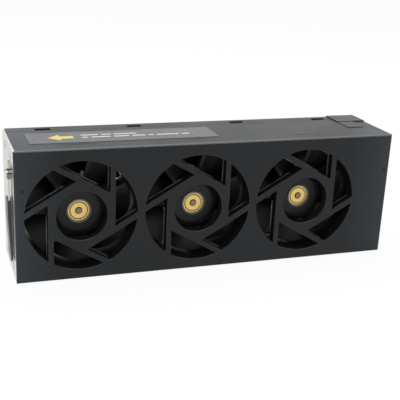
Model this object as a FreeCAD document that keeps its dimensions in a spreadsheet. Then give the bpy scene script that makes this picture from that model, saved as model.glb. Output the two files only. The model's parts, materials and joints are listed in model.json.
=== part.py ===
"""Hot-plug server fan module: three axial fans in one housing, with a pull handle and a connector.

A parametric FreeCAD document in millimetres. +X runs along the module, from the handle end to the
connector end, +Y is the way the air flows, from the guards to the exhaust, and +Z is up. The origin is
the centre of the base. Every piece is an object of its own, and its sizes are bound to the sheet "dims".
"""

import FreeCAD, Part
import math
import os
import re
import Sketcher
from FreeCAD import Placement, Rotation, Vector

FANS = (0, 1, 2)
BLADES = 7
VANES = 9
POLES = 6

# The driving dimensions, in millimetres, or degrees where the name says angle.
SIZES = {
    # housing
    "wall": 2.0,
    "end_wall": 1.5,
    "rear_wall": 1.6,
    "front_wall": 2.2,
    "front_skirt": 7.6,
    "rear_skirt": 8.2,
    "edge_radius": 0.8,
    "bay_length": 19.6,
    "floor_rib": 1.4,
    "top_rib": 2.6,
    "rib_width": 1.6,
    "rib_offset": 20.0,
    "partition": 1.2,
    "wire_window_width": 14.0,
    "wire_window_height": 9.0,
    "fan_clearance": 0.3,
    "part_gap": 0.3,
    "fit_gap": 0.02,
    "past": 1.0,
    # fan and guard
    "fan_size": 60.0,
    "fan_gap": 0.8,
    "fan_depth": 38.0,
    "fan_inset": 6.0,
    "opening_radius": 28.5,
    "collar": 1.5,
    "guard_depth": 5.2,
    "guard_hole_radius": 13.0,
    "guard_apothem": 16.9,
    "strut_width": 2.6,
    "strut_bite": 0.1,
    # marks and snaps on the housing
    "dimple_radius": 1.0,
    "dimple_depth": 0.6,
    "dimple_inset": 3.0,
    "dimple_height": 48.3,
    "snap_width": 8.0,
    "snap_length": 3.6,
    "snap_setback": 1.4,
    "snap_tongue": 1.2,
    "snap_rise": 1.5,
    "snap_root": 5.0,
    "snap_offset_0": 12.7,
    "snap_offset_1": 24.6,
    "snap_offset_2": 26.4,
    "snap_offset_3": 24.3,
    "front_tab_width": 8.0,
    "front_tab_length": 1.4,
    "step_length": 9.6,
    "step_width": 13.0,
    "step_height": 0.35,
    "end_pad_length": 17.2,
    "end_pad_height": 0.6,
    "end_pad_depth": 6.0,
    "nub_radius": 1.5,
    "nub_height": 1.0,
    "nub_level": 21.5,
    "nub_setback": 5.0,
    "label_start": 8.5,
    "label_length": 98.0,
    "label_width": 20.4,
    "label_setback": 4.0,
    "label_thickness": 0.15,
    # fan frame
    "flange": 4.0,
    "frame_corner": 3.0,
    "frame_wall": 1.3,
    "frame_hole_radius": 2.15,
    "frame_hole_spacing": 50.0,
    "base_radius": 16.0,
    "base_thickness": 3.0,
    "base_skin": 1.0,
    "vane_depth": 9.5,
    "vane_lean": 7.0,
    "vane_thickness": 1.6,
    "vane_curve": 14.0,
    "vane_root": 2.0,
    # rotor
    "hub_radius": 15.5,
    "hub_wall": 1.4,
    "hub_setback": 2.7,
    "hub_length": 22.0,
    "hub_shoulder": 5.0,
    "nose_thickness": 1.2,
    "hub_bevel": 2.0,
    "nose_hole_radius": 6.35,
    "blade_tip_gap": 0.7,
    "blade_setback": 1.6,
    "blade_root_setback": 1.0,
    "blade_root_depth": 17.5,
    "blade_tip_depth": 15.5,
    "blade_root_sweep": 14.0,
    "blade_tip_sweep": 28.0,
    "blade_bite": 1.1,
    "blade_thickness": 2.0,
    "blade_root_curve": 26.0,
    "blade_tip_curve": 36.0,
    "yoke_wall": 1.0,
    "yoke_proud": 0.4,
    "yoke_boss_wall": 0.85,
    "magnet_thickness": 2.0,
    "magnet_length": 14.0,
    "magnet_setback": 1.0,
    "bush_recess": 0.6,
    "bush_flange": 1.4,
    "bush_radius": 3.2,
    "bush_length": 5.0,
    "bush_clearance": 2.0,
    "shaft_radius": 1.5,
    "shaft_recess": 0.4,
    "countersink_radius": 1.9,
    "countersink_depth": 0.4,
    # motor
    "bearing_radius": 4.0,
    "bearing_width": 3.0,
    "tube_wall": 1.2,
    "running_gap": 0.03,
    "clip_radius": 2.9,
    "clip_thickness": 0.5,
    "clip_groove": 0.35,
    "clip_setback": 1.6,
    "shaft_tail": 0.5,
    "stator_radius": 10.4,
    "stator_length": 13.0,
    "stator_setback": 4.0,
    "stator_yoke": 1.6,
    "stator_shoe": 1.0,
    "tooth_width": 2.2,
    "slot_width": 1.6,
    "coil_thickness": 1.2,
    "motor_board_radius": 13.2,
    "motor_board_thickness": 1.0,
    # handle end
    "end_plate_thickness": 1.0,
    "end_plate_margin": 0.2,
    "plate_lip": 1.2,
    "end_plate_corner": 1.5,
    "rivet_radius": 1.3,
    "rivet_head_radius": 2.3,
    "rivet_head": 0.5,
    "rivet_level": 5.5,
    "rivet_front": 11.5,
    "rivet_rear": 33.5,
    "pivot_height": 53.8,
    "knuckle_radius": 1.15,
    "pin_radius": 0.6,
    "pin_head_radius": 1.0,
    "pin_head": 0.5,
    "hinge_gap": 0.05,
    "bracket_front": 6.0,
    "bracket_length": 11.0,
    "bracket_height": 4.0,
    "bracket_thickness": 0.8,
    "lug_length": 2.0,
    "arm_thickness": 0.8,
    "grip_front": 7.3,
    "grip_length": 9.2,
    "grip_bottom": 8.5,
    "grip_height": 33.5,
    "grip_thickness": 1.9,
    "grip_corner": 3.0,
    "grip_gap": 0.6,
    "grip_taper": 1.1,
    "grip_taper_height": 24.0,
    "arm_bite": 12.0,
    # connector end
    "board_thickness": 1.6,
    "board_width": 27.0,
    "board_height": 54.0,
    "board_setback": 5.4,
    "boss_radius": 2.4,
    "board_screw_radius": 0.95,
    "board_screw_head_radius": 1.9,
    "board_screw_head": 1.4,
    "board_screw_length": 4.5,
    "board_screw_inset": 4.0,
    "connector_width": 9.0,
    "connector_height": 24.0,
    "connector_recess": 0.5,
    "socket_width": 5.6,
    "socket_height": 20.0,
    "socket_depth": 5.2,
    "header_width": 6.0,
    "header_height": 10.0,
    "header_depth": 6.0,
    "header_pitch": 14.0,
}

# Places and sizes that follow from the driving dimensions. The housing's pieces are drawn from the corner
# at the plastic's handle end, the front face and the base.
DERIVED = {
    "fan_pitch": "fan_size + fan_gap",
    "body_length": "end_wall + fan_clearance + 3 * fan_size + 2 * fan_gap + bay_length",
    "module_length": "end_plate_thickness + body_length",
    "module_height": "2 * wall + floor_rib + fan_size + top_rib",
    "module_depth": "fan_inset + fan_depth + rear_wall",
    "axis_height": "wall + floor_rib + fan_size / 2",
    "axis_0": "end_wall + fan_clearance + fan_size / 2",
    "axis_1": "axis_0 + fan_pitch",
    "axis_2": "axis_1 + fan_pitch",
    "rear_seam": "module_depth - rear_skirt",
    "sleeve_depth": "rear_seam - front_skirt",
    "fan_top": "axis_height + fan_size / 2",
    "ceiling": "module_height - wall",
    "inside_length": "body_length - end_wall - wall",
    "inside_height": "module_height - 2 * wall",
    "bay_start": "body_length - bay_length",
    "base_tongue": "floor_rib - 1.5 * part_gap",
    "snap_0": "axis_0 - snap_offset_0",
    "snap_1": "axis_1 - snap_offset_1",
    "snap_2": "axis_2 - snap_offset_2",
    "snap_3": "axis_2 + snap_offset_3",
    "strut_start": "guard_apothem / sqrt(3)",
    "strut_end": "sqrt((opening_radius + strut_bite) ^ 2 - (guard_apothem - strut_width) ^ 2)",
    "fan_rear": "fan_inset + fan_depth",
    "base_front": "fan_rear - base_thickness",
    "nose": "fan_inset + hub_setback",
    "nose_back": "nose + nose_thickness",
    "cavity_radius": "hub_radius - hub_wall",
    "yoke_radius": "cavity_radius - fit_gap",
    "yoke_boss_radius": "nose_hole_radius - fit_gap",
    "yoke_hole_radius": "yoke_boss_radius - yoke_boss_wall",
    "yoke_face": "nose - yoke_proud",
    "yoke_back": "nose_back + fit_gap + yoke_wall",
    "yoke_end": "nose + hub_length - fit_gap",
    "magnet_outer": "yoke_radius - yoke_wall - fit_gap",
    "magnet_start": "yoke_end - magnet_length - magnet_setback",
    "bush_face": "yoke_face + bush_recess",
    "bush_end": "bush_face + bush_length",
    "tube_radius": "bearing_radius + tube_wall",
    "tube_start": "bush_end + bush_clearance",
    "tube_end": "fan_rear - base_skin",
    "clip_start": "tube_end - clip_setback",
    "rear_bearing": "clip_start - part_gap - bearing_width",
    "front_bearing": "tube_start + part_gap",
    "shaft_face": "bush_face - shaft_recess",
    "shaft_end": "clip_start + clip_thickness + shaft_tail",
    "motor_board_start": "base_front - motor_board_thickness",
    "stator_start": "tube_start + stator_setback",
    "tip_radius": "opening_radius - blade_tip_gap",
    "blade_start": "nose + blade_setback",
    "blade_root_start": "blade_start + blade_root_setback",
    "end_pad_front": "rear_seam - end_pad_depth",
    "vane_start": "fan_rear - vane_depth",
    "pivot_x": "part_gap + knuckle_radius",
    "bracket_bottom": "pivot_height + knuckle_radius + part_gap",
    "arm_front": "bracket_front + lug_length + part_gap",
    "arm_width": "bracket_length - 2 * lug_length - 2 * part_gap",
    "grip_top": "grip_bottom + grip_height",
    "board_face": "body_length - wall - board_setback",
    "board_back": "board_face - board_thickness",
    "board_front": "front_skirt + (sleeve_depth - board_width) / 2",
    "board_bottom": "(module_height - board_height) / 2",
    "connector_front": "board_front + (board_width - connector_width) / 2",
    "connector_bottom": "(module_height - connector_height) / 2",
}

ALIAS = re.compile(r"[a-z_]+[a-z_0-9]*")
PLANES = {"XY": ("XY_Plane", 1), "XZ": ("XZ_Plane", -1), "YZ": ("YZ_Plane", 1)}

doc = FreeCAD.newDocument("server_fan_module")
sheet = doc.addObject("Spreadsheet::Sheet", "dims")
parts = []


def fill_sheet():
    for row, (name, size) in enumerate(SIZES.items(), start=1):
        sheet.set(f"A{row}", name)
        sheet.set(f"B{row}", str(size))
        sheet.setAlias(f"B{row}", name)
    doc.recompute()


def expand(text, known):
    """Writes out the derived names in text, and puts known in front of each driving dimension."""

    def swap(match):
        name = match.group(0)
        if name in DERIVED:
            return "(" + expand(DERIVED[name], known) + ")"
        return known(name) if name in SIZES else name

    return ALIAS.sub(swap, str(text))


def cell(text):
    return expand(text, lambda name: "dims." + name)


def number(text):
    """The same expression as a plain number, for where a sketch starts and for edges to be found."""
    return float(FreeCAD.Units.Quantity(expand(text, lambda name: str(getattr(sheet, name)))).Value)


def bind(thing, **places):
    """Binds properties to the sheet. A double underscore in a name stands for a dot."""
    for name, text in places.items():
        thing.setExpression(name.replace("__", "."), cell(text))


def new_body(name):
    """A body drawn from the housing's corner at the plastic's handle end, the front face and the base."""
    body = doc.addObject("PartDesign::Body", name)
    body.Label = name
    bind(
        body,
        Placement__Base__x="end_plate_thickness - module_length / 2",
        Placement__Base__y="-module_depth / 2",
    )
    parts.append(body)
    return body


def fan_placement(thing, fan):
    """Puts a turned piece on a fan's axis, with its own Z along the airflow from the front face."""
    thing.Placement = Placement(Vector(), Rotation(Vector(1, 0, 0), -90))
    bind(
        thing,
        Placement__Base__x=f"end_plate_thickness - module_length / 2 + axis_{fan}",
        Placement__Base__y="-module_depth / 2",
        Placement__Base__z="axis_height",
    )


def new_fan_body(name, fan):
    body = doc.addObject("PartDesign::Body", f"{name}_{fan + 1}")
    body.Label = f"{name}_{fan + 1}"
    fan_placement(body, fan)
    parts.append(body)
    return body


def origin_feature(body, role):
    return next(f for f in body.Origin.OriginFeatures if f.Role == role)


def sketch_on(body, name, plane, along, across, level, turn=0):
    """A sketch on one of the body's origin planes, moved within it and turned, and raised to a level."""
    role, sign = PLANES[plane]
    sketch = body.newObject("Sketcher::SketchObject", f"{body.Label}_{name}_sketch")
    sketch.AttachmentSupport = [(origin_feature(body, role), "")]
    sketch.MapMode = "FlatFace"
    sketch.AttachmentOffset = Placement(Vector(), Rotation(Vector(0, 0, 1), turn))
    bind(
        sketch,
        AttachmentOffset__Base__x=along,
        AttachmentOffset__Base__y=across,
        AttachmentOffset__Base__z=f"{sign} * ({level})",
    )
    return sketch


def hold(sketch, kind, *where, size):
    """Adds a dimension to a sketch and binds it to the sheet."""
    index = sketch.addConstraint(Sketcher.Constraint(kind, *where, number(size)))
    sketch.setExpression(f"Constraints[{index}]", cell(size))


def draw_rectangle(sketch, width, height, corner=None):
    """A rectangle from its low corner, which is the sketch's origin unless corner gives its place."""
    w, h = number(width), number(height)
    low = Vector(number(corner[0]), number(corner[1])) if corner else Vector()
    corners = [low, low + Vector(w, 0), low + Vector(w, h), low + Vector(0, h)]
    sides = [Part.LineSegment(corners[i], corners[(i + 1) % 4]) for i in range(4)]
    first = sketch.addGeometry(sides, False)[0]
    for i in range(4):
        sketch.addConstraint(Sketcher.Constraint("Coincident", first + i, 2, first + (i + 1) % 4, 1))
    for i, way in enumerate(("Horizontal", "Vertical", "Horizontal", "Vertical")):
        sketch.addConstraint(Sketcher.Constraint(way, first + i))
    hold_point(sketch, first, 1, corner)
    hold(sketch, "DistanceX", first, 1, first, 2, size=width)
    hold(sketch, "DistanceY", first + 1, 1, first + 1, 2, size=height)


def draw_circle(sketch, radius, centre=None):
    """A circle about the sketch's origin, or about centre."""
    middle = Vector(number(centre[0]), number(centre[1])) if centre else Vector()
    circle = sketch.addGeometry(Part.Circle(middle, Vector(0, 0, 1), number(radius)), False)
    hold_point(sketch, circle, 3, centre)
    hold(sketch, "Radius", circle, size=radius)


def hold_point(sketch, curve, end, place):
    """Holds a point at place. A 0 puts it on that axis of the sketch, and no place on the origin."""
    if place is None:
        sketch.addConstraint(Sketcher.Constraint("Coincident", curve, end, -1, 1))
        return
    for axis, way, size in ((-2, "DistanceX", place[0]), (-1, "DistanceY", place[1])):
        if size == "0":
            sketch.addConstraint(Sketcher.Constraint("PointOnObject", curve, end, axis))
        else:
            hold(sketch, way, -1, 1, curve, end, size=size)


def draw_outline(sketch, points):
    """A closed outline of straight sides. A 0 puts a corner on that axis of the sketch."""
    places = [Vector(number(u), number(v)) for u, v in points]
    count = len(points)
    sides = [Part.LineSegment(places[i], places[(i + 1) % count]) for i in range(count)]
    sketch.addGeometry(sides, False)
    for i, point in enumerate(points):
        sketch.addConstraint(Sketcher.Constraint("Coincident", i, 2, (i + 1) % count, 1))
        hold_point(sketch, i, 1, point)


def extrude(body, name, sketch, plane, length, cut):
    """Pads or cuts from the sketch towards the body's positive axis."""
    towards_axis = PLANES[plane][1] > 0
    feature = body.newObject("PartDesign::Pocket" if cut else "PartDesign::Pad", f"{body.Label}_{name}")
    feature.Profile = sketch
    feature.Type = 0
    feature.Reversed = towards_axis if cut else not towards_axis
    feature.Refine = False
    bind(feature, Length=length)
    sketch.Visibility = False
    return feature


def block(body, name, x, y, z, cut=False):
    """A box from three (start, length) pairs, added to the body or cut from it."""
    sketch = sketch_on(body, name, "XZ", x[0], z[0], y[0])
    draw_rectangle(sketch, x[1], z[1])
    return extrude(body, name, sketch, "XZ", y[1], cut)


def blocks(body, name, y, places, cut=False):
    """Several boxes of one depth. places holds each one's (start, length) along X and along Z."""
    sketch = sketch_on(body, name, "XZ", "0", "0", y[0])
    for x, z in places:
        draw_rectangle(sketch, x[1], z[1], corner=(x[0], z[0]))
    return extrude(body, name, sketch, "XZ", y[1], cut)


def rod(body, name, plane, centre, span, radius, bore=None, cut=False):
    """A round bar or tube, added to the body or cut from it. span is its (start, length) along its axis."""
    sketch = sketch_on(body, name, plane, centre[0], centre[1], span[0])
    draw_circle(sketch, radius)
    if bore:
        draw_circle(sketch, bore)
    return extrude(body, name, sketch, plane, span[1], cut)


def rods(body, name, plane, centres, span, radius, bore=None, cut=False):
    """Several round bars or tubes of one size, at centres."""
    sketch = sketch_on(body, name, plane, "0", "0", span[0])
    for centre in centres:
        draw_circle(sketch, radius, centre)
        if bore:
            draw_circle(sketch, bore, centre)
    return extrude(body, name, sketch, plane, span[1], cut)


def turned(body, name, points, cut=False):
    """Revolves an outline of (radius, height) corners about the body's Z axis."""
    sketch = sketch_on(body, name, "XZ", "0", "0", "0")
    draw_outline(sketch, points)
    kind = "PartDesign::Groove" if cut else "PartDesign::Revolution"
    feature = body.newObject(kind, f"{body.Label}_{name}")
    feature.Profile = sketch
    feature.ReferenceAxis = (sketch, ["V_Axis"])
    feature.Angle = 360
    feature.Refine = False
    sketch.Visibility = False
    return feature


def ring_outline(inner, outer, start, end):
    """The four corners of a plain ring's section."""
    return [(inner, start), (outer, start), (outer, end), (inner, end)]


def polar(body, name, features, count, axis):
    pattern = body.newObject("PartDesign::PolarPattern", f"{body.Label}_{name}")
    pattern.Originals = features
    pattern.Axis = axis
    pattern.Angle = 360
    pattern.Occurrences = count
    pattern.Refine = False
    body.Tip = pattern
    return pattern


def round_edges(body, name, radius, chosen):
    """Fillets the edges of the body so far that chosen picks."""
    doc.recompute()
    base = body.Tip
    names = [f"Edge{i}" for i, edge in enumerate(base.Shape.Edges, start=1) if chosen(edge)]
    fillet = body.newObject("PartDesign::Fillet", f"{body.Label}_{name}")
    fillet.Base = (base, names)
    bind(fillet, Radius=radius)
    return fillet


def all_at(edge, **places):
    """True where every vertex of the edge has these coordinates."""
    for vertex in edge.Vertexes:
        if any(abs(getattr(vertex.Point, axis) - place) > 1e-4 for axis, place in places.items()):
            return False
    return True


# ---------------------------------------------------------------- housing


def fan_axes():
    """Where the fans' axes are, along the module and up."""
    return [(f"axis_{fan}", "axis_height") for fan in FANS]


def both_skins(x_places, height):
    """The same places along X through the top wall and the base wall, for blocks."""
    top = f"module_height - {height}"
    return [(x, (level, height)) for x in x_places for level in (top, "0")]


def make_front_cover():
    """The front moulding: a shallow tray with three round openings, each with a guard across it."""
    body = new_body("front_cover")
    block(body, "tray", ("0", "body_length"), ("0", "front_skirt"), ("0", "module_height"))
    lip = ("-end_plate_thickness", "end_plate_thickness + strut_bite")
    block(body, "plate_lip", lip, ("0", "plate_lip"), ("0", "module_height"))
    hollow = ("front_wall", "front_skirt - front_wall")
    block(body, "hollow", ("end_wall", "inside_length"), hollow, ("wall", "inside_height"), cut=True)
    collar = ("front_wall - strut_bite", "fan_inset - front_wall + strut_bite")
    rods(body, "collars", "XZ", fan_axes(), collar, "opening_radius + collar")
    rods(body, "openings", "XZ", fan_axes(), ("0", "fan_inset"), "opening_radius", cut=True)
    guard = ("0", "guard_depth")
    rods(body, "guard_rings", "XZ", fan_axes(), guard, "guard_apothem", bore="guard_hole_radius")
    for fan in FANS:
        make_struts(body, fan)
    tabs = [(f"axis_{tab} - front_tab_width / 2", "front_tab_width") for tab in FANS]
    tab_depth = ("front_skirt - strut_bite", "front_tab_length + strut_bite")
    blocks(body, "tabs", tab_depth, both_skins(tabs, "wall / 2"))
    dimples = [("dimple_inset", "dimple_height"), ("body_length - dimple_inset", "dimple_height")]
    rods(body, "dimples", "XZ", dimples, ("0", "dimple_depth"), "dimple_radius", cut=True)
    height, start, length = number("module_height"), -number("end_plate_thickness"), number("body_length")

    def on_rim(edge):
        sides = ({"z": 0}, {"z": height}, {"x": start}, {"x": length})
        return all_at(edge, y=0) and any(all_at(edge, **side) for side in sides)

    round_edges(body, "rim", "edge_radius", on_rim)


def make_struts(body, fan):
    """Six straight struts, each along one side of a hexagon round the guard's ring and on to the rim."""
    hub = sketch_on(body, f"guard_axis_{fan}", "XZ", f"axis_{fan}", "axis_height", "0")
    start = (f"axis_{fan} + guard_apothem - strut_width", "axis_height - strut_start")
    sketch = sketch_on(body, f"strut_{fan}", "XZ", start[0], start[1], "0")
    draw_rectangle(sketch, "strut_width", "strut_start + strut_end")
    strut = extrude(body, f"strut_{fan}", sketch, "XZ", "guard_depth", False)
    polar(body, f"struts_{fan}", [strut], 6, (hub, ["N_Axis"]))


def make_centre_housing():
    """The sleeve round the fans, with the connector bay at its end and the rear cover's snaps."""
    body = new_body("centre_housing")
    depth = ("front_skirt", "sleeve_depth")
    block(body, "sleeve", ("0", "body_length"), depth, ("0", "module_height"))
    inside = ("wall", "inside_height")
    fan_space = ("end_wall", "bay_start - end_wall + fan_clearance")
    bay_space = ("bay_start + fan_clearance + partition", "bay_length - fan_clearance - partition - wall")
    blocks(body, "spaces", depth, [(fan_space, inside), (bay_space, inside)], cut=True)
    ribs = [(f"axis_{fan} {way} rib_offset - rib_width / 2", "rib_width") for fan in FANS for way in "-+"]
    floor = ("wall - strut_bite", "floor_rib + strut_bite")
    top = ("fan_top", "top_rib + strut_bite")
    blocks(body, "ribs", depth, [(x, z) for x in ribs for z in (floor, top)])
    window_x = ("bay_start + fan_clearance - strut_bite", "partition + 2 * strut_bite")
    window_y = ("front_skirt + (sleeve_depth - wire_window_width) / 2", "wire_window_width")
    window_z = ("ceiling - top_rib - wire_window_height", "wire_window_height")
    block(body, "wire_window", window_x, window_y, window_z, cut=True)
    notch_width = "front_tab_width + 2 * part_gap"
    notches = [(f"axis_{tab} - front_tab_width / 2 - part_gap", notch_width) for tab in FANS]
    notch_depth = ("front_skirt", "front_tab_length + part_gap")
    blocks(body, "notches", notch_depth, both_skins(notches, "wall"), cut=True)
    make_snaps(body)
    pad_x = ("body_length - end_pad_length", "end_pad_length")
    pad_z = ("module_height - strut_bite", "end_pad_height + strut_bite")
    block(body, "end_pad", pad_x, ("end_pad_front", "end_pad_depth"), pad_z)
    step_y = ("end_pad_front - step_width", "step_width + strut_bite")
    step_z = ("module_height - strut_bite", "step_height + strut_bite")
    block(body, "step", ("body_length - end_pad_length", "step_length"), step_y, step_z)
    block(
        body,
        "connector_window",
        ("body_length - wall", "wall"),
        ("connector_front - part_gap", "connector_width + 2 * part_gap"),
        ("connector_bottom - part_gap", "connector_height + 2 * part_gap"),
        cut=True,
    )
    rods(body, "bosses", "YZ", board_corners(), ("board_face", "board_setback + strut_bite"), "boss_radius")
    pilot = ("board_face", "board_screw_length + part_gap")
    rods(body, "pilots", "YZ", board_corners(), pilot, "board_screw_radius + fit_gap", cut=True)
    nub = ("front_skirt + nub_setback", "nub_level")
    rod(body, "nub", "YZ", nub, ("body_length", "nub_height"), "nub_radius")
    rods(body, "rivet_holes", "YZ", rivet_places(), ("0", "end_wall"), "rivet_radius + fit_gap", cut=True)


def make_snaps(body):
    """Tongues under the rear cover's skirt, each with a hook that stands in one of the cover's windows."""
    tongue_width = "snap_width - 2 * part_gap"
    tongues = [(f"snap_{snap} - snap_width / 2 + part_gap", tongue_width) for snap in range(4)]
    root = ("rear_seam - snap_root", "snap_root")
    top_root = ("ceiling - part_gap - snap_tongue", "part_gap + snap_tongue")
    roots = (("wall", "part_gap + base_tongue"), top_root)
    blocks(body, "snap_roots", root, [(x, z) for x in tongues for z in roots])
    reach = ("rear_seam - strut_bite", "strut_bite + snap_setback + snap_length")
    strips = (("wall + part_gap", "base_tongue"), ("ceiling - part_gap - snap_tongue", "snap_tongue"))
    blocks(body, "snap_tongues", reach, [(x, z) for x in tongues for z in strips])
    hook = ("rear_seam + snap_setback + part_gap", "snap_length - 2 * part_gap")
    hooks = (("wall + part_gap - snap_rise", "snap_rise"), ("ceiling - part_gap", "snap_rise"))
    blocks(body, "snap_hooks", hook, [(x, z) for x in tongues for z in hooks])


def board_corners():
    """The four screws of the fan board, along the airflow and up."""
    low_y, high_y = "board_front + board_screw_inset", "board_front + board_width - board_screw_inset"
    low_z, high_z = "board_bottom + board_screw_inset", "board_bottom + board_height - board_screw_inset"
    return [(y, z) for y in (low_y, high_y) for z in (low_z, high_z)]


def rivet_places():
    """The four rivets of the end plate, along the airflow and up."""
    levels = ("rivet_level", "module_height - rivet_level")
    return [(y, z) for y in ("rivet_front", "rivet_rear") for z in levels]


def make_rear_cover():
    """The exhaust moulding: a skirt with snap windows and a wall with three round outlets."""
    body = new_body("rear_cover")
    block(body, "tray", ("0", "body_length"), ("rear_seam", "rear_skirt"), ("0", "module_height"))
    hollow = ("rear_seam", "rear_skirt - rear_wall")
    block(body, "hollow", ("end_wall", "inside_length"), hollow, ("wall", "inside_height"), cut=True)
    rods(body, "outlets", "XZ", fan_axes(), ("fan_rear", "rear_wall"), "opening_radius", cut=True)
    windows = [(f"snap_{snap} - snap_width / 2", "snap_width") for snap in range(4)]
    window_depth = ("rear_seam + snap_setback", "snap_length")
    blocks(body, "windows", window_depth, both_skins(windows, "wall"), cut=True)
    pad_x = ("body_length - end_pad_length", "end_pad_length")
    pad_z = ("module_height - strut_bite", "end_pad_height + strut_bite")
    block(body, "rear_pad", pad_x, ("rear_seam", "rear_skirt"), pad_z)


def make_label():
    """The sticker on the top: a thin sheet, bare."""
    body = new_body("label")
    block(
        body,
        "sheet",
        ("label_start", "label_length"),
        ("front_skirt + label_setback", "label_width"),
        ("module_height", "label_thickness"),
    )


# ---------------------------------------------------------------- fan


def draw_blade(sketch, sweep, depth, thickness, curve, leans_back=False):
    """A curved blade's section: two arcs of nearly the same radius, joined by short flat ends.

    It runs from the sketch's origin to sweep and depth, or to the other side where it leans back.
    The thickness is measured across the airflow.
    """
    s, d, t = number(sweep), number(depth), number(thickness)
    if leans_back:
        s = -s
    r = number(curve)
    near = Vector(0, 0)
    far = Vector(s, d)
    shift = Vector(t, 0)
    lower = arc_through(near + shift, far + shift, r)
    upper = arc_through(near, far, r)
    sketch.addGeometry(
        [
            Part.LineSegment(near, near + shift),
            lower,
            Part.LineSegment(far + shift, far),
            upper,
        ],
        False,
    )
    for line, end, arc, arc_end in ((0, 2, 1, 1), (2, 1, 1, 2), (2, 2, 3, 2), (0, 1, 3, 1)):
        sketch.addConstraint(Sketcher.Constraint("Coincident", line, end, arc, arc_end))
    sketch.addConstraint(Sketcher.Constraint("Coincident", 0, 1, -1, 1))
    sketch.addConstraint(Sketcher.Constraint("Horizontal", 0))
    sketch.addConstraint(Sketcher.Constraint("Horizontal", 2))
    hold(sketch, "DistanceX", 0, 1, 0, 2, size=thickness)
    hold(sketch, "DistanceX", 2, 2, 2, 1, size=thickness)
    across = (2, 2, -1, 1) if leans_back else (-1, 1, 2, 2)
    hold(sketch, "DistanceX", *across, size=sweep)
    hold(sketch, "DistanceY", -1, 1, 2, 2, size=depth)
    hold(sketch, "Radius", 1, size=curve)
    hold(sketch, "Radius", 3, size=curve)


def arc_through(start, end, radius):
    """The arc of this radius from start to end that bulges to the right of the chord."""
    chord = end - start
    half = chord.Length / 2
    middle = (start + end) / 2
    right = Vector(chord.y, -chord.x).normalize()
    sagitta = radius - math.sqrt(radius**2 - half**2)
    circle_arc = Part.Arc(start, middle + right * sagitta, end)
    return circle_arc


def make_fan_frame(fan):
    """The fan's square frame: two flanges joined by a thin round duct, with four screw holes."""
    body = new_fan_body("fan_frame", fan)
    sketch = sketch_on(body, "square", "XY", "-fan_size / 2", "-fan_size / 2", "fan_inset")
    draw_rectangle(sketch, "fan_size", "fan_size")
    extrude(body, "square", sketch, "XY", "fan_depth", False)
    depth = number("fan_depth")

    def upright(edge):
        return abs(edge.Length - depth) < 1e-4

    round_edges(body, "corners", "frame_corner", upright)
    duct = "opening_radius + frame_wall"
    waist = ring_outline(duct, "fan_size", "fan_inset + flange", "fan_rear - flange")
    turned(body, "waist", waist, cut=True)
    through = ("fan_inset", "fan_depth")
    hole = ("frame_hole_spacing / 2", "frame_hole_spacing / 2")
    drilled = rod(body, "hole", "XY", hole, through, "frame_hole_radius", cut=True)
    polar(body, "holes", [drilled], 4, (origin_feature(body, "Z_Axis"), [""]))
    rod(body, "bore", "XY", ("0", "0"), through, "opening_radius", cut=True)


def make_stator_vanes(fan):
    """The motor's base with the stator vanes, which reach out to the duct and lean against the blades."""
    body = new_fan_body("stator_vanes", fan)
    middle = ("0", "0")
    rod(body, "motor_base", "XY", middle, ("base_front", "base_thickness"), "base_radius")
    near = "(vane_lean - vane_thickness) / 2"
    sketch = sketch_on(body, "vane", "YZ", near, "vane_start", "base_radius - vane_root")
    vane_depth = "vane_depth - strut_bite"
    draw_blade(sketch, "vane_lean", vane_depth, "vane_thickness", "vane_curve", leans_back=True)
    vane = extrude(body, "vane", sketch, "YZ", "vane_root + opening_radius - base_radius + past", False)
    polar(body, "vanes", [vane], VANES, (origin_feature(body, "Z_Axis"), [""]))
    through = ("fan_inset", "fan_depth")
    reach = "opening_radius - fit_gap"
    rod(body, "tips", "XY", middle, through, "2 * opening_radius", bore=reach, cut=True)
    space = ("vane_start - strut_bite", "base_front - vane_start + strut_bite")
    rod(body, "motor_space", "XY", middle, space, "base_radius - part_gap", cut=True)
    seat = ("base_front", "base_thickness - base_skin")
    rod(body, "tube_seat", "XY", middle, seat, "tube_radius + fit_gap", cut=True)


def make_impeller(fan):
    """The moulded hub with its blades: each blade is lofted from a steep root to a flatter tip."""
    body = new_fan_body("impeller", fan)
    end = "nose + hub_length"
    turned(body, "hub", [("0", "nose"), ("hub_radius", "nose"), ("hub_radius", end), ("0", end)])

    def shoulder(edge):
        return all_at(edge, z=number("nose")) and abs(edge.Curve.Radius - number("hub_radius")) < 1e-4

    round_edges(body, "shoulder", "hub_shoulder", shoulder)
    near = "-(blade_root_sweep + blade_thickness) / 2"
    root = sketch_on(body, "blade_root", "YZ", near, "blade_root_start", "cavity_radius - blade_bite")
    draw_blade(root, "blade_root_sweep", "blade_root_depth", "blade_thickness", "blade_root_curve")
    near = "-(blade_tip_sweep + blade_thickness) / 2"
    tip = sketch_on(body, "blade_tip", "YZ", near, "blade_start", "opening_radius + past")
    draw_blade(tip, "blade_tip_sweep", "blade_tip_depth", "blade_thickness", "blade_tip_curve")
    blade = body.newObject("PartDesign::AdditiveLoft", f"{body.Label}_blade")
    blade.Profile = root
    blade.Sections = [tip]
    blade.Ruled = True
    root.Visibility = False
    tip.Visibility = False
    polar(body, "blades", [blade], BLADES, (origin_feature(body, "Z_Axis"), [""]))
    middle = ("0", "0")
    through = ("fan_inset", "fan_depth")
    rod(body, "tips", "XY", middle, through, "2 * opening_radius", bore="tip_radius", cut=True)
    cavity_end = f"{end} + past"
    cavity = [
        ("0", "nose_back"),
        ("cavity_radius - hub_bevel", "nose_back"),
        ("cavity_radius", "nose_back + hub_bevel"),
        ("cavity_radius", cavity_end),
        ("0", cavity_end),
    ]
    turned(body, "cavity", cavity, cut=True)
    rod(body, "nose_hole", "XY", middle, ("nose", "nose_thickness"), "nose_hole_radius", cut=True)


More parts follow.
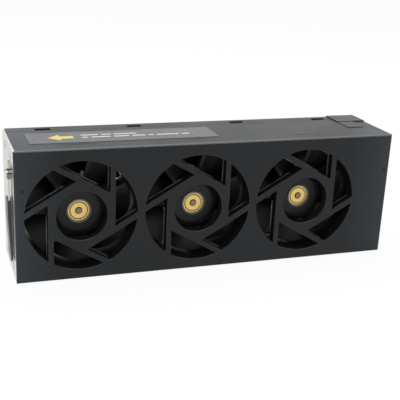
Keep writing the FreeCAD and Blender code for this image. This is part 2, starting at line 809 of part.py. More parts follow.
def make_rotor_yoke(fan):
    """The steel cup inside the hub. Its boss stands out through the hub's nose."""
    body = new_fan_body("rotor_yoke", fan)
    front = "nose_back + fit_gap"
    turned(
        body,
        "cup",
        [
            ("yoke_hole_radius", "yoke_face"),
            ("yoke_boss_radius", "yoke_face"),
            ("yoke_boss_radius", front),
            ("yoke_radius - hub_bevel", front),
            ("yoke_radius", f"{front} + hub_bevel"),
            ("yoke_radius", "yoke_end"),
            ("yoke_radius - yoke_wall", "yoke_end"),
            ("yoke_radius - yoke_wall", "yoke_back + hub_bevel"),
            ("yoke_radius - yoke_wall - hub_bevel", "yoke_back"),
            ("yoke_hole_radius", "yoke_back"),
        ],
    )


def make_magnet_ring(fan):
    body = new_fan_body("magnet_ring", fan)
    inner = "magnet_outer - magnet_thickness"
    end = "magnet_start + magnet_length"
    turned(body, "ring", ring_outline(inner, "magnet_outer", "magnet_start", end))


def make_shaft_bush(fan):
    """The brass bush that carries the shaft in the yoke, with a small countersink round the shaft's end."""
    body = new_fan_body("shaft_bush", fan)
    hole = "shaft_radius + fit_gap"
    turned(
        body,
        "bush",
        [
            ("countersink_radius", "bush_face"),
            ("yoke_hole_radius - fit_gap", "bush_face"),
            ("yoke_hole_radius - fit_gap", "bush_face + bush_flange"),
            ("bush_radius", "bush_face + bush_flange"),
            ("bush_radius", "bush_end"),
            (hole, "bush_end"),
            (hole, "bush_face + countersink_depth"),
        ],
    )


def make_shaft(fan):
    body = new_fan_body("shaft", fan)
    groove = "shaft_radius - clip_groove"
    groove_start = "clip_start - fit_gap"
    groove_end = "clip_start + clip_thickness + fit_gap"
    turned(
        body,
        "bar",
        [
            ("0", "shaft_face"),
            ("shaft_radius", "shaft_face"),
            ("shaft_radius", groove_start),
            (groove, groove_start),
            (groove, groove_end),
            ("shaft_radius", groove_end),
            ("shaft_radius", "shaft_end"),
            ("0", "shaft_end"),
        ],
    )


def make_shaft_clip(fan):
    """The clip that keeps the rotor on its bearings, open on one side to snap into the shaft's groove."""
    body = new_fan_body("shaft_clip", fan)
    inner = "shaft_radius - clip_groove + fit_gap"
    turned(body, "ring", ring_outline(inner, "clip_radius", "clip_start", "clip_start + clip_thickness"))
    sketch = sketch_on(body, "mouth", "XY", "0", "-shaft_radius / 2", "clip_start")
    draw_rectangle(sketch, "clip_radius + past", "shaft_radius")
    extrude(body, "mouth", sketch, "XY", "clip_thickness", True)


def make_bearing_tube(fan):
    body = new_fan_body("bearing_tube", fan)
    turned(body, "tube", ring_outline("bearing_radius + fit_gap", "tube_radius", "tube_start", "tube_end"))


def make_bearings(fan):
    """The two bearings, as one node of two separate rings."""
    rings = []
    for name, start in (("front", "front_bearing"), ("rear", "rear_bearing")):
        outer = new_solid("Part::Cylinder", f"bearing_{name}_outer_{fan}", "0", "0", start)
        bind(outer, Radius="bearing_radius", Height="bearing_width")
        inner = new_solid("Part::Cylinder", f"bearing_{name}_bore_{fan}", "0", "0", start)
        bind(inner, Radius="shaft_radius + running_gap", Height="bearing_width")
        rings.append(new_cut(f"bearing_{name}_{fan}", outer, inner))
    group = new_group(f"bearings_{fan + 1}", rings)
    fan_placement(group, fan)


def new_solid(kind, name, x, y, z):
    solid = doc.addObject(kind, name)
    bind(solid, Placement__Base__x=x, Placement__Base__y=y, Placement__Base__z=z)
    return solid


def new_cut(name, base, tool):
    cut = doc.addObject("Part::Cut", name)
    cut.Base = base
    cut.Tool = tool
    return cut


def new_group(name, members):
    """One node that holds several separate solids."""
    group = doc.addObject("Part::Compound", name)
    group.Label = name
    group.Links = members
    parts.append(group)
    return group


def make_stator_core(fan):
    """The stack of stator sheets: a ring on the tube, six teeth and their shoes."""
    body = new_fan_body("stator_core", fan)
    span = ("stator_start", "stator_length")
    rod(body, "yoke", "XY", ("0", "0"), span, "tube_radius + stator_yoke", bore="tube_radius + fit_gap")
    tooth_start = "tube_radius + stator_yoke / 2"
    sketch = sketch_on(body, "tooth", "XY", tooth_start, "-tooth_width / 2", "stator_start")
    draw_rectangle(sketch, f"stator_radius - stator_shoe / 2 - ({tooth_start})", "tooth_width")
    tooth = extrude(body, "tooth", sketch, "XY", "stator_length", False)
    axis = (origin_feature(body, "Z_Axis"), [""])
    polar(body, "teeth", [tooth], POLES, axis)
    rod(body, "shoes", "XY", ("0", "0"), span, "stator_radius", bore="stator_radius - stator_shoe")
    sketch = sketch_on(body, "slot", "XY", "0", "0", "stator_start", turn=180 / POLES)
    bind_slot_place(sketch)
    draw_rectangle(sketch, "2 * stator_shoe", "slot_width")
    slot = extrude(body, "slot", sketch, "XY", "stator_length", True)
    polar(body, "slots", [slot], POLES, axis)


def bind_slot_place(sketch):
    """A slot lies half a pole round from a tooth, across the shoes."""
    turn = f"{180 / POLES:g} deg"
    out = "stator_radius - 1.5 * stator_shoe"
    bind(
        sketch,
        AttachmentOffset__Base__x=f"({out}) * cos({turn}) + slot_width / 2 * sin({turn})",
        AttachmentOffset__Base__y=f"({out}) * sin({turn}) - slot_width / 2 * cos({turn})",
    )


def make_stator_coils(fan):
    """Six coils, each a closed loop round one tooth."""
    coils = []
    inner = "tube_radius + stator_yoke + part_gap"
    radial = f"stator_radius - stator_shoe - part_gap - ({inner})"
    for pole in range(POLES):
        loops = []
        for kind, spread in (("outside", "coil_thickness"), ("inside", "fit_gap")):
            y, z = f"-tooth_width / 2 - {spread}", f"stator_start - {spread}"
            loop = new_solid("Part::Box", f"coil_{kind}_{fan}_{pole}", inner, y, z)
            bind(loop, Length=radial)
            bind(loop, Width=f"tooth_width + 2 * {spread}", Height=f"stator_length + 2 * {spread}")
            loops.append(loop)
        coil = new_cut(f"coil_{fan}_{pole}", *loops)
        coil.Placement = Placement(Vector(), Rotation(Vector(0, 0, 1), 360 * pole / POLES))
        coils.append(coil)
    group = new_group(f"stator_coils_{fan + 1}", coils)
    fan_placement(group, fan)


def make_motor_board(fan):
    body = new_fan_body("motor_board", fan)
    hole = "tube_radius + part_gap"
    turned(body, "board", ring_outline(hole, "motor_board_radius", "motor_board_start", "base_front"))


# ---------------------------------------------------------------- handle end


def make_end_plate():
    """The sheet-metal plate over the handle end."""
    body = new_body("end_plate")
    x = ("-end_plate_thickness", "end_plate_thickness")
    y = ("plate_lip + end_plate_margin", "module_depth - plate_lip - 2 * end_plate_margin")
    z = ("end_plate_margin", "module_height - 2 * end_plate_margin")
    block(body, "plate", x, y, z)
    thickness = number("end_plate_thickness")

    def corner(edge):
        along_x = abs(edge.Length - thickness) < 1e-4
        return along_x and len(edge.Vertexes) == 2

    round_edges(body, "corners", "end_plate_corner", corner)
    rods(body, "holes", "YZ", rivet_places(), x, "rivet_radius + fit_gap", cut=True)
    head = ("-end_plate_thickness", "rivet_head")
    rods(body, "head_seats", "YZ", rivet_places(), head, "rivet_head_radius + fit_gap", cut=True)


def make_end_rivets():
    """Four flush rivets through the end plate and the housing's end wall, as one node."""
    head = ("-end_plate_thickness", "rivet_head", "rivet_head_radius")
    shank = ("-end_plate_thickness", "end_plate_thickness + end_wall", "rivet_radius")
    make_fasteners("end_rivets", rivet_places(), head, shank)


def make_fasteners(name, places, head, shank):
    """Headed bars along X, as separate solids. head and shank are each (start, length, radius)."""
    fasteners = []
    for index, (y, z) in enumerate(places):
        bars = []
        for kind, (start, length, radius) in (("head", head), ("shank", shank)):
            bar = new_solid("Part::Cylinder", f"{name}_{kind}_{index}", start, y, z)
            bar.Placement.Rotation = Rotation(Vector(0, 1, 0), 90)
            bind(bar, Radius=radius, Height=length)
            bars.append(bar)
        fastener = doc.addObject("Part::Fuse", f"{name}_{index}")
        fastener.Base, fastener.Tool = bars
        fasteners.append(fastener)
    group = new_group(name, fasteners)
    corner_placement(group)


def corner_placement(thing):
    bind(
        thing,
        Placement__Base__x="end_plate_thickness - module_length / 2",
        Placement__Base__y="-module_depth / 2",
    )


def knuckle(body, name, y):
    """A rolled hinge knuckle round the handle's pin."""
    centre = ("-end_plate_thickness - pivot_x", "pivot_height")
    rod(body, name, "XZ", centre, y, "knuckle_radius")


def pin_hole(body, y):
    centre = ("-end_plate_thickness - pivot_x", "pivot_height")
    rod(body, "pin_hole", "XZ", centre, y, "pin_radius + hinge_gap", cut=True)


def make_handle_bracket():
    """A strip on the end plate with a knuckle at each end."""
    body = new_body("handle_bracket")
    x = ("-end_plate_thickness - bracket_thickness", "bracket_thickness")
    whole = ("bracket_front", "bracket_length")
    block(body, "strip", x, whole, ("bracket_bottom", "bracket_height"))
    rear_lug = "bracket_front + bracket_length - lug_length"
    for name, start in (("front", "bracket_front"), ("rear", rear_lug)):
        y = (start, "lug_length")
        block(body, f"{name}_lug", x, y, ("pivot_height", "bracket_bottom - pivot_height + strut_bite"))
        knuckle(body, f"{name}_knuckle", y)
    pin_hole(body, whole)


def make_handle_pin():
    """The hinge pin, with a formed head at each end."""
    body = new_body("handle_pin")
    centre = ("-end_plate_thickness - pivot_x", "pivot_height")
    length = "bracket_length + 2 * hinge_gap"
    start = "bracket_front - hinge_gap"
    rod(body, "bar", "XZ", centre, (start, length), "pin_radius")
    rod(body, "front_head", "XZ", centre, (f"{start} - pin_head", "pin_head"), "pin_head_radius")
    rod(body, "rear_head", "XZ", centre, (f"{start} + {length}", "pin_head"), "pin_head_radius")


def make_handle_arm():
    """The sheet-metal lever: a knuckle on the pin and a flat arm that runs down into the grip."""
    body = new_body("handle_arm")
    y = ("arm_front", "arm_width")
    x = ("-end_plate_thickness - pivot_x - arm_thickness / 2", "arm_thickness")
    knuckle(body, "knuckle", y)
    bottom = "grip_top - arm_bite"
    block(body, "arm", x, y, (bottom, f"pivot_height - ({bottom})"))
    pin_hole(body, y)


def make_handle_grip():
    """The moulded grip over the arm's lower end."""
    body = new_body("handle_grip")
    x = ("-end_plate_thickness - grip_gap - grip_thickness", "grip_thickness")
    block(body, "grip", x, ("grip_front", "grip_length"), ("grip_bottom", "grip_height"))
    thickness = number("grip_thickness")

    def corner(edge):
        return abs(edge.Length - thickness) < 1e-4

    round_edges(body, "corners", "grip_corner", corner)
    slot = ("-end_plate_thickness - pivot_x - arm_thickness / 2 - fit_gap", "arm_thickness + 2 * fit_gap")
    width = ("arm_front - fit_gap", "arm_width + 2 * fit_gap")
    block(body, "arm_slot", slot, width, ("grip_top - arm_bite - fit_gap", "arm_bite + fit_gap"), cut=True)
    sketch = sketch_on(body, "taper", "XZ", x[0], "grip_bottom", "grip_front")
    draw_outline(sketch, [("0", "0"), ("grip_taper", "0"), ("0", "grip_taper_height")])
    extrude(body, "taper", sketch, "XZ", "grip_length", True)


# ---------------------------------------------------------------- connector end


def make_fan_board():
    body = new_body("fan_board")
    x = ("board_back", "board_thickness")
    block(body, "board", x, ("board_front", "board_width"), ("board_bottom", "board_height"))
    rods(body, "holes", "YZ", board_corners(), x, "board_screw_radius + running_gap", cut=True)


def make_board_connector():
    """The plug-in connector: a block on the board with a socket that faces out of the module's end."""
    body = new_body("board_connector")
    length = "body_length - connector_recess - board_face"
    block(
        body,
        "shell",
        ("board_face", length),
        ("connector_front", "connector_width"),
        ("connector_bottom", "connector_height"),
    )
    block(
        body,
        "socket",
        (f"board_face + {length} - socket_depth", "socket_depth"),
        ("connector_front + (connector_width - socket_width) / 2", "socket_width"),
        ("(module_height - socket_height) / 2", "socket_height"),
        cut=True,
    )


def make_fan_headers():
    """Three lead headers on the board's inner side, one for each fan, as one node."""
    headers = []
    for fan in FANS:
        level = f"module_height / 2 + {fan - 1} * header_pitch - header_height / 2"
        y = "board_front + (board_width - header_width) / 2"
        header = new_solid("Part::Box", f"header_{fan}", "board_back - header_depth", y, level)
        bind(header, Length="header_depth", Width="header_width", Height="header_height")
        headers.append(header)
    group = new_group("fan_headers", headers)
    corner_placement(group)


def make_board_screws():
    """Four screws through the board into the bosses, as one node."""
    head = ("board_back - board_screw_head", "board_screw_head", "board_screw_head_radius")
    shank_length = "board_screw_head / 2 + board_thickness + board_screw_length"
    shank = ("board_back - board_screw_head / 2", shank_length, "board_screw_radius")
    make_fasteners("board_screws", board_corners(), head, shank)


# ---------------------------------------------------------------- the whole module


def build():
    make_front_cover()
    make_centre_housing()
    make_rear_cover()
    make_label()
    for fan in FANS:
        make_fan_frame(fan)
        make_stator_vanes(fan)
        make_impeller(fan)
        make_rotor_yoke(fan)
        make_magnet_ring(fan)
        make_shaft_bush(fan)
        make_shaft(fan)
        make_shaft_clip(fan)
        make_bearing_tube(fan)
        make_bearings(fan)
        make_stator_core(fan)
        make_stator_coils(fan)
        make_motor_board(fan)
    make_end_plate()
    make_end_rivets()
    make_handle_bracket()
    make_handle_pin()
    make_handle_arm()
    make_handle_grip()
    make_fan_board()
    make_board_connector()
    make_fan_headers()
    make_board_screws()
    for piece in parts:
        if piece.TypeId == "PartDesign::Body":
            piece.Tip.Refine = True
    doc.recompute()


def sound(shape):
    return not shape.isNull() and shape.isValid()


def check():
    """Stops the script, naming every object that failed, before anything is written."""
    failed = [thing for thing in doc.Objects if {"Invalid", "Error"} & set(thing.State)]
    faults = [f"{thing.Name}: {thing.State}" for thing in failed]
    faults += [f"{piece.Label}: no valid shape" for piece in parts if not sound(piece.Shape)]
    if faults:
        raise RuntimeError("; ".join(faults))


def write():
    os.makedirs("parts", exist_ok=True)
    for piece in parts:
        piece.Shape.exportStep(os.path.join("parts", piece.Label + ".step"))


fill_sheet()
build()
check()
write()
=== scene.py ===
"""The looks of the server fan module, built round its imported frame. Metres, in the frame's own axes."""

import json
import math

import bmesh
import bpy
from mathutils import Matrix, Vector


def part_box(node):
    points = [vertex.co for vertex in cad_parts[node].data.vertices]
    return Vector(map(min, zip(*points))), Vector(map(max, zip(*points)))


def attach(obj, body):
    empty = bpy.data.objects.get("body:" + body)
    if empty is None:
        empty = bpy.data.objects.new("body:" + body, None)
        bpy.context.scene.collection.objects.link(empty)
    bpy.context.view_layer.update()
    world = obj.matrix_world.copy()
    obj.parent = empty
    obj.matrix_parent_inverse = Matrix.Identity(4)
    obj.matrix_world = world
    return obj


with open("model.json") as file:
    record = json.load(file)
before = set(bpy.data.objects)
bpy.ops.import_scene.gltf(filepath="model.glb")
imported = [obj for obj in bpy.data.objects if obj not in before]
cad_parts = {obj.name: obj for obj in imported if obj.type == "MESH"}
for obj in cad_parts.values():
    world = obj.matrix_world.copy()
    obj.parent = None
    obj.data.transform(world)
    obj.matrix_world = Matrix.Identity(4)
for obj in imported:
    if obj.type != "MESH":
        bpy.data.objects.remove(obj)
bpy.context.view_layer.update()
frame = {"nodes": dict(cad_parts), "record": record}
nodes = frame["nodes"]
MM = 0.001
FANS = (1, 2, 3)


def centre_of(node):
    low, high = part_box(node)
    return (low + high) / 2


# Where the fans' axes, which run along Y, cross X and Z.
fan_axes = [(centre_of(f"shaft_{fan}").x, centre_of(f"shaft_{fan}").z) for fan in FANS]

# ------------------------------------------------------------------ camera, lights and stage

CAMERA_PLACE = Vector((-0.1445, -0.4023, 0.1742))
CAMERA_ANGLES = (-19.27, -19.54, -2.53)
CAMERA_SHIFT = (0.02, 0.03)
LENS = 74.26
SENSOR = 36.0
NEAR_CLIP = 0.01

SKY_TINT = (0.97, 0.985, 1.0)
SKY_STRENGTH = 0.5
WHITE = (1.0, 1.0, 1.0)
LAMP_AIM = (0, 0, 0.03)

FLOOR_REACH = 6.0
FLOOR_DROP = 0.2 * MM
FLOOR_GREY = (0.90, 0.90, 0.90)
FLOOR_ROUGHNESS = 0.9
FLOOR_WHITE = 0.93


def make_camera():
    """A camera at its place, turned about Z, tipped down, and rolled a little."""
    turn, tip, roll = (math.radians(angle) for angle in CAMERA_ANGLES)
    level = Matrix.Rotation(turn, 3, "Z") @ Matrix.Rotation(tip, 3, "X") @ Matrix.Rotation(roll, 3, "Y")
    look_along_y = Matrix.Rotation(math.radians(90), 3, "X")
    data = bpy.data.cameras.new("camera")
    data.lens = LENS
    data.sensor_width = SENSOR
    data.shift_x, data.shift_y = CAMERA_SHIFT
    data.clip_start = NEAR_CLIP
    camera = bpy.data.objects.new("camera", data)
    camera.matrix_world = Matrix.Translation(CAMERA_PLACE) @ (level @ look_along_y).to_4x4()
    bpy.context.scene.collection.objects.link(camera)
    bpy.context.scene.camera = camera


def make_lamp(name, place, size, power):
    """A white soft box that faces the object."""
    data = bpy.data.lights.new(name, "AREA")
    data.shape = "RECTANGLE"
    data.size, data.size_y = size
    data.energy = power
    lamp = bpy.data.objects.new(name, data)
    lamp.location = place
    lamp.rotation_euler = (Vector(LAMP_AIM) - Vector(place)).to_track_quat("-Z", "Y").to_euler()
    bpy.context.scene.collection.objects.link(lamp)


def backdrop_rays(tree):
    """1 for the rays that see a plain white backdrop: the camera's, reflected ones and transmitted ones."""
    path = tree.nodes.new("ShaderNodeLightPath")
    share = path.outputs["Is Camera Ray"]
    for kind in ("Is Glossy Ray", "Is Transmission Ray"):
        either = tree.nodes.new("ShaderNodeMath")
        either.operation = "MAXIMUM"
        tree.links.new(share, either.inputs[0])
        tree.links.new(path.outputs[kind], either.inputs[1])
        share = either.outputs[0]
    return share


def mixed_by(tree, share, first, second, target):
    """Blends two shaders by a share and links the result to the target."""
    mix = tree.nodes.new("ShaderNodeMixShader")
    tree.links.new(share, mix.inputs[0])
    tree.links.new(first, mix.inputs[1])
    tree.links.new(second, mix.inputs[2])
    tree.links.new(mix.outputs[0], target)


def make_world():
    """White to the camera and in reflections. It lights the object a little less than that."""
    world = bpy.data.worlds.new("studio")
    bpy.context.scene.world = world
    world.use_nodes = True
    tree = world.node_tree
    light = tree.nodes["Background"]
    light.inputs["Color"].default_value = (*SKY_TINT, 1)
    light.inputs["Strength"].default_value = SKY_STRENGTH
    seen = tree.nodes.new("ShaderNodeBackground")
    seen.inputs["Color"].default_value = (*WHITE, 1)
    target = tree.nodes["World Output"].inputs["Surface"]
    mixed_by(tree, backdrop_rays(tree), light.outputs[0], seen.outputs[0], target)


def make_floor():
    """A white floor. Part of its white is its own to the camera, so the object's shadow on it is faint."""
    mesh = bpy.data.meshes.new("floor")
    corners = [(-1, -1), (1, -1), (1, 1), (-1, 1)]
    mesh.from_pydata([(x * FLOOR_REACH, y * FLOOR_REACH, 0) for x, y in corners], [], [(0, 1, 2, 3)])
    floor = bpy.data.objects.new("floor", mesh)
    bpy.context.scene.collection.objects.link(floor)
    floor.location.z = -FLOOR_DROP
    material = bpy.data.materials.new("floor")
    material.use_nodes = True
    tree = material.node_tree
    shader = tree.nodes["Principled BSDF"]
    shader.inputs["Base Color"].default_value = (*FLOOR_GREY, 1)
    shader.inputs["Roughness"].default_value = FLOOR_ROUGHNESS
    white = tree.nodes.new("ShaderNodeEmission")
    share = tree.nodes.new("ShaderNodeMath")
    share.operation = "MULTIPLY"
    share.inputs[1].default_value = FLOOR_WHITE
    tree.links.new(backdrop_rays(tree), share.inputs[0])
    target = tree.nodes["Material Output"].inputs["Surface"]
    mixed_by(tree, share.outputs[0], shader.outputs[0], white.outputs[0], target)
    mesh.materials.append(material)


make_camera()
make_world()
make_floor()
make_lamp("top_light", place=(0.0, 0.25, 0.95), size=(1.2, 0.9), power=10.0)
make_lamp("side_light", place=(-0.9, -0.5, 0.5), size=(0.8, 0.8), power=2.2)

# ------------------------------------------------------------------ a material's nodes

BEVEL_SAMPLES = 6
EDGE_START = 0.002
EDGE_FULL = 0.10
CLOUD_START = 0.3
CLOUD_END = 0.7
SOFTNESS = 0.15


def scaled_colour(colour, share):
    """The colour made darker, or paler where the share is over 1."""
    return tuple(share * part for part in colour)


class Graph:
    """A short way to write a material's nodes. Every texture lies in the object's own metres."""

    def __init__(self, name):
        self.material = bpy.data.materials.new(name)
        self.material.use_nodes = True
        self.tree = self.material.node_tree
        self.shader = self.tree.nodes["Principled BSDF"]
        self.place = self.add("ShaderNodeTexCoord").outputs["Object"]
        self.normal = None

    def add(self, kind, **settings):
        node = self.tree.nodes.new(kind)
        for name, value in settings.items():
            setattr(node, name, value)
        return node

    def link(self, source, target):
        self.tree.links.new(source, target)

    def noise(self, scale, detail=3.0, stretch=(1, 1, 1)):
        """Noise with so many features to a metre, pressed together along each axis by the stretch."""
        mapping = self.add("ShaderNodeMapping")
        mapping.inputs["Scale"].default_value = stretch
        self.link(self.place, mapping.inputs["Vector"])
        node = self.add("ShaderNodeTexNoise")
        node.inputs["Scale"].default_value = scale
        node.inputs["Detail"].default_value = detail
        self.link(mapping.outputs["Vector"], node.inputs["Vector"])
        return node.outputs["Fac"]

    def ranged(self, value, low=0.0, high=1.0, start=CLOUD_START, end=CLOUD_END):
        """Low where the value is at its start or under, high where it is at its end or over."""
        node = self.add("ShaderNodeMapRange")
        node.inputs["From Min"].default_value = start
        node.inputs["From Max"].default_value = end
        node.inputs["To Min"].default_value = low
        node.inputs["To Max"].default_value = high
        self.link(value, node.inputs["Value"])
        return node.outputs["Result"]

    def blended(self, share, first, second):
        """A colour between two, which are colours or sockets."""
        node = self.add("ShaderNodeMix", data_type="RGBA")
        self.link(share, node.inputs["Factor"])
        first_colour, second_colour = (socket for socket in node.inputs if socket.type == "RGBA")
        for value, socket in ((first, first_colour), (second, second_colour)):
            if isinstance(value, tuple):
                socket.default_value = (*value, 1)
            else:
                self.link(value, socket)
        return next(socket for socket in node.outputs if socket.type == "RGBA")

    def math(self, operation, *values):
        """One step of arithmetic on one or two values, which are numbers or sockets."""
        node = self.add("ShaderNodeMath", operation=operation)
        for value, socket in zip(values, node.inputs):
            if isinstance(value, float):
                socket.default_value = value
            else:
                self.link(value, socket)
        return node.outputs[0]

    def parts_of(self, vector):
        """The X, Y and Z of a vector."""
        node = self.add("ShaderNodeSeparateXYZ")
        self.link(vector, node.inputs[0])
        return node.outputs

    def facing(self):
        """The X, Y and Z of the surface's true normal."""
        return self.parts_of(self.add("ShaderNodeNewGeometry").outputs["Normal"])

    def near(self, value, place, reach):
        """1 within reach of a place, and 0 beyond it."""
        distance = self.math("ABSOLUTE", self.math("SUBTRACT", value, place))
        inside, outside = (1 - SOFTNESS) * reach, (1 + SOFTNESS) * reach
        return self.ranged(distance, low=1.0, high=0.0, start=inside, end=outside)

    def rounded(self, radius):
        """The normal as if the edges were rounded to this radius."""
        node = self.add("ShaderNodeBevel", samples=BEVEL_SAMPLES)
        node.inputs["Radius"].default_value = radius
        return node.outputs[0]

    def edges(self, radius):
        """Near 1 along a sharp edge and 0 on flat ground, by how far a rounded normal leaves the true one."""
        true = self.add("ShaderNodeNewGeometry").outputs["Normal"]
        dot = self.add("ShaderNodeVectorMath", operation="DOT_PRODUCT")
        self.link(self.rounded(radius), dot.inputs[0])
        self.link(true, dot.inputs[1])
        full, start = 1.0 - EDGE_FULL, 1.0 - EDGE_START
        return self.ranged(dot.outputs["Value"], low=1.0, high=0.0, start=full, end=start)

    def distance_from(self, axes):
        """How far a place is from the nearest of these axes along Y."""
        place = self.parts_of(self.place)
        nearest = None
        for x, z in axes:
            across = self.math("POWER", self.math("SUBTRACT", place["X"], x), 2.0)
            above = self.math("POWER", self.math("SUBTRACT", place["Z"], z), 2.0)
            away = self.math("SQRT", self.math("ADD", across, above))
            nearest = away if nearest is None else self.math("MINIMUM", nearest, away)
        return nearest

    def surface(self, colour, roughness, spread, noise, metallic=0.0):
        """Sets the colour, and a roughness that runs with the noise from below to above its middle value."""
        below, above = spread
        self.link(colour, self.shader.inputs["Base Color"])
        self.link(self.ranged(noise, roughness - below, roughness + above), self.shader.inputs["Roughness"])
        self.shader.inputs["Metallic"].default_value = metallic

    def round_edges(self, radius):
        """Starts the normal. Every bump comes after it."""
        self.normal = self.rounded(radius)

    def bump(self, height, strength, depth):
        """Adds relief to the normal so far."""
        node = self.add("ShaderNodeBump")
        node.inputs["Strength"].default_value = strength
        node.inputs["Distance"].default_value = depth
        self.link(height, node.inputs["Height"])
        self.link(self.normal, node.inputs["Normal"])
        self.normal = node.outputs["Normal"]
        self.link(self.normal, self.shader.inputs["Normal"])


# ------------------------------------------------------------------ the housing's joints and painted light

SEAM_REACH = 0.5 * MM
SEAM_DEPTH = 1.4 * MM
TAB_REACH = 8.5 * MM
HIGHLIGHT_BAND = 1.1 * MM
LIT_END_REACH = 24 * MM
LIT_END_SHARE = 0.6
LIT_END_PALER = 7.0
BLACK = (0.0, 0.0, 0.0)


def top_edge_highlight(graph):
    """1 on the top's front edge and the rounding before it, where a painted highlight makes the black paler.
    """
    facing = graph.facing()
    forward = graph.math("MULTIPLY", facing["Y"], -1.0)
    rounding = graph.ranged(graph.math("MINIMUM", forward, facing["Z"]), start=0.05, end=0.4)
    band = graph.near(graph.parts_of(graph.place)["Y"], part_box("front_cover")[0].y, HIGHLIGHT_BAND)
    on_top = graph.ranged(facing["Z"], start=0.8, end=0.95)
    return graph.math("MAXIMUM", rounding, graph.math("MULTIPLY", band, on_top))


def painted_light_ends(graph):
    """Up to its share at the module's two ends, where painted light makes the black paler."""
    from_middle = graph.math("ABSOLUTE", graph.parts_of(graph.place)["X"])
    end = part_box("centre_housing")[1].x
    return graph.math("MULTIPLY", graph.ranged(from_middle, start=end - LIT_END_REACH, end=end), LIT_END_SHARE)


def housing_joints(graph):
    """1 in the joint before the rear cover, and at the front cover's tabs."""
    place = graph.parts_of(graph.place)
    rear = graph.near(place["Y"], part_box("rear_cover")[0].y, SEAM_REACH)
    front = graph.near(place["Y"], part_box("centre_housing")[0].y, SEAM_REACH)
    tabs = None
    for x, _ in fan_axes:
        tab = graph.near(place["X"], x, TAB_REACH)
        tabs = tab if tabs is None else graph.math("MAXIMUM", tabs, tab)
    return graph.math("MAXIMUM", rear, graph.math("MULTIPLY", front, tabs))


# ------------------------------------------------------------------ materials

MOULDED_EDGE = 0.25 * MM
SHEET_EDGE = 0.12 * MM
TURNED_EDGE = 0.08 * MM
PLAIN_EDGE = 0.1 * MM
RING_PITCH = 0.22 * MM
GROOVE_REACH = 0.28 * MM
BUSH_GROOVE = 4.5 * MM
FINE_GRAIN = 1200.0
COIL_GRAIN = 2500.0


def moulded(name, colour, wear_and_highlight, roughness, grain=900.0, gloss=0.32, is_housing=False):
    """Moulded black plastic: spark-eroded grain, faint flow marks, and paler rubbed edges. On the housing,
    the paler ends and the paler top front edge are painted light.
    """
    graph = Graph(name)
    cloud = graph.noise(scale=28.0, detail=4.0)
    flow = graph.noise(scale=9.0, detail=2.0, stretch=(1.0, 5.0, 5.0))
    fine = graph.noise(grain, detail=2.0)
    base = graph.blended(graph.ranged(cloud), scaled_colour(colour, 0.80), colour)
    base = graph.blended(graph.ranged(flow, high=0.35), base, scaled_colour(colour, 1.25))
    patches = graph.ranged(graph.noise(scale=140.0, detail=4.0), low=0.15, high=0.9)
    base = graph.blended(graph.math("MULTIPLY", graph.edges(MOULDED_EDGE), patches), base, wear_and_highlight)
    if is_housing:
        joints = housing_joints(graph)
        # Painted light: the module's ends made paler.
        base = graph.blended(painted_light_ends(graph), base, scaled_colour(colour, LIT_END_PALER))
        # Painted highlight: the top's front edge made paler.
        base = graph.blended(top_edge_highlight(graph), base, wear_and_highlight)
        base = graph.blended(joints, base, BLACK)
    graph.surface(base, roughness, spread=(0.05, 0.07), noise=cloud)
    graph.shader.inputs["Specular IOR Level"].default_value = gloss
    graph.round_edges(MOULDED_EDGE)
    graph.bump(fine, strength=0.25, depth=0.05 * MM)
    graph.bump(cloud, strength=0.06, depth=0.4 * MM)
    if is_housing:
        graph.bump(graph.math("SUBTRACT", 1.0, joints), strength=1.0, depth=SEAM_DEPTH)
    return graph.material


def sheet_metal(name, colour, roughness):
    """Zinc-coated sheet: rolled along its length, with faint spangle and fine scratches."""
    graph = Graph(name)
    rolled = graph.noise(scale=700.0, stretch=(1.0, 1.0, 0.03))
    cloud = graph.noise(scale=45.0)
    spangle = graph.add("ShaderNodeTexVoronoi", feature="F1")
    spangle.inputs["Scale"].default_value = 260.0
    graph.link(graph.place, spangle.inputs["Vector"])
    tone = graph.blended(graph.ranged(cloud), scaled_colour(colour, 0.88), colour)
    graph.surface(tone, roughness, spread=(0.06, 0.10), noise=rolled, metallic=1.0)
    graph.round_edges(SHEET_EDGE)
    graph.bump(rolled, strength=0.12, depth=0.02 * MM)
    graph.bump(spangle.outputs["Distance"], strength=0.05, depth=0.05 * MM)
    return graph.material


def turned_metal(name, colour, roughness, axes=None, groove=None):
    """Turned metal: fine rings about the axes, or plain fine scratches where none are given.

    A groove is a radius about the axes at which a narrow ring is sunk, and its darker tone is painted shade.
    """
    graph = Graph(name)
    cloud = graph.noise(scale=300.0)
    tone = graph.blended(graph.ranged(cloud), scaled_colour(colour, 0.90), colour)
    groove_and_shade = None
    if axes:
        radius = graph.distance_from(axes)
        height = graph.math("SINE", graph.math("MULTIPLY", radius, 2 * math.pi / RING_PITCH))
        if groove:
            groove_and_shade = graph.near(radius, groove, GROOVE_REACH)
            # The groove's darker tone is painted shade.
            tone = graph.blended(groove_and_shade, tone, scaled_colour(colour, 0.25))
    else:
        height = graph.noise(scale=1500.0, detail=2.0, stretch=(0.05, 1, 1))
    graph.surface(tone, roughness, spread=(0.05, 0.08), noise=cloud, metallic=1.0)
    graph.round_edges(TURNED_EDGE)
    graph.bump(height, strength=0.15, depth=0.02 * MM)
    if groove_and_shade is not None:
        graph.bump(graph.math("MULTIPLY", groove_and_shade, -1.0), strength=0.6, depth=0.15 * MM)
    return graph.material


def plain(name, colour, roughness, metallic=0.0, mottle=0.15, grain=600.0, relief=0.1):
    """A surface with a little mottle and a fine grain, for small and inner pieces."""
    graph = Graph(name)
    cloud = graph.noise(scale=120.0)
    tone = graph.blended(graph.ranged(cloud), scaled_colour(colour, 1 - mottle), colour)
    graph.surface(tone, roughness, spread=(0.05, 0.05), noise=cloud, metallic=metallic)
    graph.round_edges(PLAIN_EDGE)
    graph.bump(graph.noise(grain, detail=2.0), strength=relief, depth=0.03 * MM)
    return graph.material


